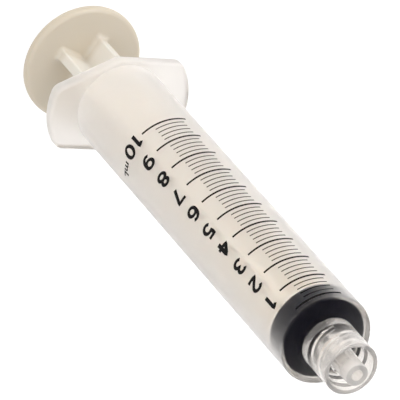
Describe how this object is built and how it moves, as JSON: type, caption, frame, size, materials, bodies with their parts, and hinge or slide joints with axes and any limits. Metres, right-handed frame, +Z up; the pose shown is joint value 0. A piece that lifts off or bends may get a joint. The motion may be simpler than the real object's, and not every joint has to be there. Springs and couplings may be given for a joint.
{
  "type": "luer lock syringe",
  "caption": "Empty disposable 10 ml syringe standing on its thumb plate: clear barrel with finger flange and threaded lock collar, black stopper, plunger rod.",
  "frame": {"origin": "on the table, at the centre of the back of the thumb plate", "axes": "+Z up, along the syringe's own axis and towards the tip; X is the long axis of the finger flange, and the printed scale faces between -Y and +X"},
  "size_m": [0.0264, 0.0219, 0.1111],
  "materials": {
    "clear_barrel": "milky translucent moulded plastic, smooth",
    "black_rubber": "black moulded rubber, slightly oiled",
    "rod_plastic": "beige translucent moulded plastic",
    "print_black": "flat printed ink"
  },
  "bodies": {
    "rod_body": {"plunger_rod": "rod_plastic"},
    "stopper_body": {"stopper": "black_rubber"},
    "barrel_body": {"barrel": "clear_barrel"}
  },
  "joints": [
    {"name": "rod_swivel", "type": "hinge", "parent": "rod_body", "child": "stopper_body", "pos_m": [0, 0, 0.09425], "axis": [0, 0, 1], "continuous": true},
    {"name": "plunger_slide", "type": "slide", "parent": "stopper_body", "child": "barrel_body", "axis": [0, 0, 1], "range_m": [0, 0.0741]}
  ]
}
